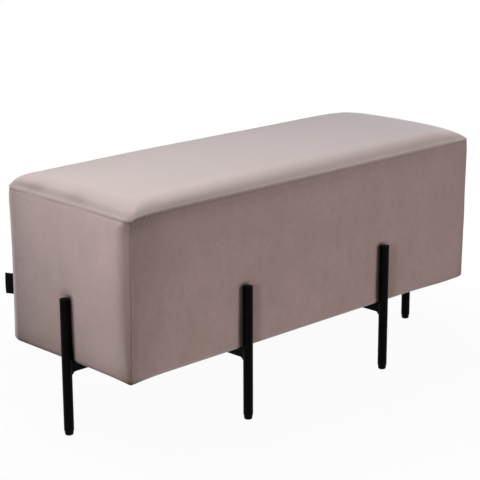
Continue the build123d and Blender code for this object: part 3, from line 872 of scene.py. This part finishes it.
CLOTH_BLACK = (0.012, 0.012, 0.013, 1)
CLOTH_GREY = (0.035, 0.035, 0.036, 1)
CLOTH_RELIEF = 0.0004
felt, tree, shader = new_material("black_dust_cloth")
fibres = mottle(tree, Scale=650, Detail=4, Roughness=0.7, First=CLOTH_BLACK, Second=CLOTH_GREY)
tree.links.new(fibres.outputs["Tone"], shader.inputs["Base Color"])
shader.inputs["Roughness"].default_value = 0.9
bump(tree, shader, fibres.outputs["Height"], CLOTH_RELIEF)
dust.data.materials.append(felt)
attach(dust, "bench")
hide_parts("dust_cloth")

# Side label
# A short loop of black woven tape is caught in the rear left upright seam and stands out from it.
# It is folded on itself, a little fuller at the fold, and left blank.

LABEL_LOW, LABEL_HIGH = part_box("side_label")
TAPE_THICKNESS = 0.0003
TAPE_GAP = 0.0006
TAPE_LEAN = 0.0012
FOLD_POWER = 2.2
FULLNESS_POWER = 0.3
TAPE_ROWS = 14
TAPE_COLUMNS = 41
root = Vector((LABEL_HIGH.x, LABEL_LOW.y, 0))
tip = Vector((LABEL_LOW.x, LABEL_HIGH.y, 0))
out = (tip - root).normalized()
across = Vector((-out.y, out.x, 0))
reach = (tip - root).length

# The fold is half a rounded oblong seen from above, and its middle leans over to one side
tape_height = np.linspace(LABEL_LOW.z, LABEL_HIGH.z, TAPE_ROWS)[:, None]
tape_turn = np.linspace(-1, 1, TAPE_COLUMNS)[None, :]
tape_out = reach * (1 - np.abs(tape_turn) ** FOLD_POWER) ** (1 / FOLD_POWER)
height_share = (tape_height - LABEL_LOW.z) / (LABEL_HIGH.z - LABEL_LOW.z)
lean = TAPE_LEAN * np.sin(height_share * np.pi) * tape_out / reach
tape_side = TAPE_GAP * np.sign(tape_turn) * np.abs(tape_turn) ** FULLNESS_POWER + lean
label_points = np.stack(np.broadcast_arrays(
    root.x + out.x * tape_out + across.x * tape_side,
    root.y + out.y * tape_out + across.y * tape_side,
    tape_height,
), axis=-1)
label = sheet_mesh("blank_label", label_points)
thicken(label, TAPE_THICKNESS)

LABEL_BLACK = (0.0010, 0.0010, 0.0011, 1)
LABEL_GREY = (0.0030, 0.0030, 0.0032, 1)
LABEL_RELIEF = 0.0002
tape, tree, shader = new_material("black_tape")
weft = add_node(tree, "ShaderNodeTexWave", Scale=420.0, Distortion=0.6)
weft.bands_direction = "Z"
tape_place = tree.nodes.new("ShaderNodeTexCoord")
tree.links.new(tape_place.outputs["Object"], weft.inputs["Vector"])
threads = tree.nodes.new("ShaderNodeMix")
threads.data_type = "RGBA"
threads.inputs["A"].default_value = LABEL_BLACK
threads.inputs["B"].default_value = LABEL_GREY
tree.links.new(weft.outputs["Fac"], threads.inputs["Factor"])
tree.links.new(threads.outputs["Result"], shader.inputs["Base Color"])
shader.inputs["Roughness"].default_value = 0.6
shader.inputs["Specular IOR Level"].default_value = 0.03
bump(tree, shader, weft.outputs["Fac"], LABEL_RELIEF)
label.data.materials.append(tape)
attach(label, "bench")
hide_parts("side_label")

# Leg frames
# Two frames of welded steel, each with three round tube legs and flat bars, are bolted under the body.
# They are powder coated satin black, with a fine skin like orange peel and a little dulling from handling.

STEEL_FRAME_NODES = [f"{name}_leg" for name in LEG_NAMES]
STEEL_FRAME_NODES += ["left_cross_bar", "right_cross_bar", "left_end_bar", "right_end_bar"]
STEEL_FRAME_NODES += ["frame_welds", "frame_bolts", "leg_caps"]
COAT_BLACK = (0.0010, 0.0010, 0.0011, 1)
COAT_GREY = (0.0018, 0.0018, 0.0019, 1)
COAT_ROUGHNESS = (0.38, 0.50)
COAT_RELIEF = 0.0001
COAT_STRENGTH = 0.4

coat, tree, shader = new_material("black_powder_coat")
handled = mottle(tree, Scale=18, Detail=4, First=COAT_BLACK, Second=COAT_GREY)
peel = mottle(tree, Scale=900, Detail=2)
tree.links.new(handled.outputs["Tone"], shader.inputs["Base Color"])
tree.links.new(remap(tree, handled.outputs["Mask"], 0, 1, *COAT_ROUGHNESS), shader.inputs["Roughness"])
shader.inputs["Specular IOR Level"].default_value = 0.03
bump(tree, shader, peel.outputs["Height"], COAT_RELIEF, COAT_STRENGTH)
dress(STEEL_FRAME_NODES, coat)

# Feet
# Each tube is closed by a moulded insert that takes a threaded stud with a round glide pad.
# Insert and pad are matt black plastic, finely textured and greyer where they scuff.

FOOT_NODES = ["leg_inserts"] + [f"{name}_foot" for name in LEG_NAMES]
PLASTIC_BLACK = (0.0012, 0.0012, 0.0012, 1)
PLASTIC_SCUFF = (0.0040, 0.0040, 0.0040, 1)
PLASTIC_ROUGHNESS = (0.5, 0.7)
PLASTIC_RELIEF = 0.0001
PLASTIC_STRENGTH = 0.5

plastic, tree, shader = new_material("black_moulded_plastic")
scuffs = mottle(
    tree, Scale=140, Detail=5, Roughness=0.65, Low=0.5, High=0.75,
    First=PLASTIC_BLACK, Second=PLASTIC_SCUFF,
)
grain = mottle(tree, Scale=1400, Detail=1)
tree.links.new(scuffs.outputs["Tone"], shader.inputs["Base Color"])
tree.links.new(remap(tree, scuffs.outputs["Mask"], 0, 1, *PLASTIC_ROUGHNESS), shader.inputs["Roughness"])
shader.inputs["Specular IOR Level"].default_value = 0.04
bump(tree, shader, grain.outputs["Height"], PLASTIC_RELIEF, PLASTIC_STRENGTH)
dress(FOOT_NODES, plastic)

# Studio
# A plain floor in white surroundings, with square soft lamps above, behind, to the left and in front.
# The floor is nearly clear to the camera, so it looks white and holds only a faint shadow, and a foot that
# is screwed out below its level still shows.

FLOOR_SIZE = 12.0
FLOOR_TONE = (0.50, 0.50, 0.50, 1)
FLOOR_CLEAR = 0.955
SHADOW_REACH = 0.9
AMBIENT = (0.02, 0.02, 0.02, 1)
WHITE = (1, 1, 1, 1)
LAMP_TARGET = (0, 0, 0.3)

edge = np.linspace(-FLOOR_SIZE / 2, FLOOR_SIZE / 2, 3)
floor_points = np.stack(np.broadcast_arrays(edge[None, :], edge[:, None], 0.0), axis=-1)
floor = sheet_mesh("floor", floor_points)


def seen_directly(tree):
    """1 for rays from the camera, also by way of gloss or glass, and 0 for light that falls on things."""
    path = tree.nodes.new("ShaderNodeLightPath")
    rays = [path.outputs[name] for name in ("Is Camera Ray", "Is Glossy Ray", "Is Transmission Ray")]
    for other in rays[1:]:
        either = tree.nodes.new("ShaderNodeMath")
        either.operation = "MAXIMUM"
        tree.links.new(rays[0], either.inputs[0])
        tree.links.new(other, either.inputs[1])
        rays[0] = either.outputs["Value"]
    return rays[0]


paper, tree, shader = new_material("white_floor")
shader.inputs["Base Color"].default_value = FLOOR_TONE
shader.inputs["Roughness"].default_value = 0.9
shader.inputs["Specular IOR Level"].default_value = 0.0
clear = tree.nodes.new("ShaderNodeBsdfTransparent")
away = tree.nodes.new("ShaderNodeVectorMath")
away.operation = "LENGTH"
floor_place = tree.nodes.new("ShaderNodeTexCoord")
tree.links.new(floor_place.outputs["Object"], away.inputs[0])
plain = remap(tree, away.outputs["Value"], SHADOW_REACH / 2, SHADOW_REACH, FLOOR_CLEAR, 1)
share = tree.nodes.new("ShaderNodeMath")
share.operation = "MULTIPLY"
tree.links.new(seen_directly(tree), share.inputs[0])
tree.links.new(plain, share.inputs[1])
mix = tree.nodes.new("ShaderNodeMixShader")
tree.links.new(share.outputs["Value"], mix.inputs["Fac"])
tree.links.new(shader.outputs["BSDF"], mix.inputs[1])
tree.links.new(clear.outputs["BSDF"], mix.inputs[2])
tree.links.new(mix.outputs["Shader"], tree.nodes["Material Output"].inputs["Surface"])
floor.data.materials.append(paper)

world = bpy.data.worlds.new("white_studio")
bpy.context.scene.world = world
world.use_nodes = True
tree = world.node_tree
background = tree.nodes["Background"]
sky = tree.nodes.new("ShaderNodeMix")
sky.data_type = "RGBA"
sky.inputs["A"].default_value = AMBIENT
sky.inputs["B"].default_value = WHITE
tree.links.new(seen_directly(tree), sky.inputs["Factor"])
tree.links.new(sky.outputs["Result"], background.inputs["Color"])


def soft_lamp(name, place, size, power):
    """A square area lamp at a place, facing the body."""
    data = bpy.data.lights.new(name, "AREA")
    data.size = size
    data.energy = power
    lamp = bpy.data.objects.new(name, data)
    bpy.context.scene.collection.objects.link(lamp)
    lamp.location = place
    lamp.rotation_euler = (Vector(LAMP_TARGET) - Vector(place)).to_track_quat("-Z", "Y").to_euler()
    lamp.visible_camera = False


soft_lamp("key_lamp", (-0.95, 0.05, 1.50), size=0.6, power=12.3)
soft_lamp("back_lamp", (-0.2, 0.9, 2.0), size=1.4, power=17)
soft_lamp("front_lamp", (0.8, -2.4, 0.9), size=1.0, power=23)
soft_lamp("left_lamp", (-2.5, -1.15, 0.8), size=0.3, power=15)

# Camera at the photograph's angle
# A long lens stands off the near left corner, a little above the top.
# It shows the left end, the front and the top, and is turned by the photograph's own slight roll.

CAMERA_TARGET = (0.1165, 0.1599, 0.2282)
CAMERA_AZIMUTH = math.radians(-44.36)
CAMERA_ELEVATION = math.radians(15.55)
CAMERA_ROLL = math.radians(-0.22)
CAMERA_DISTANCE = 3.4075
CAMERA_LENS = 117.70
CAMERA_SENSOR = 36.0

flat = math.cos(CAMERA_ELEVATION)
back_x = math.sin(CAMERA_AZIMUTH) * flat
back_y = -math.cos(CAMERA_AZIMUTH) * flat
back = Vector((back_x, back_y, math.sin(CAMERA_ELEVATION)))
right = Vector((0, 0, 1)).cross(back).normalized()
up = back.cross(right)
lens = bpy.data.cameras.new("photo_camera")
lens.lens = CAMERA_LENS
lens.sensor_width = CAMERA_SENSOR
camera = bpy.data.objects.new("photo_camera", lens)
bpy.context.scene.collection.objects.link(camera)
upright = Matrix((right, up, back)).transposed().to_4x4()
camera.matrix_world = (
    Matrix.Translation(Vector(CAMERA_TARGET) + back * CAMERA_DISTANCE)
    @ upright
    @ Matrix.Rotation(CAMERA_ROLL, 4, "Z")
)
bpy.context.scene.camera = camera
bpy.context.scene.view_settings.view_transform = "Standard"

# Bring the scene's placements up to date
bpy.context.view_layer.update()
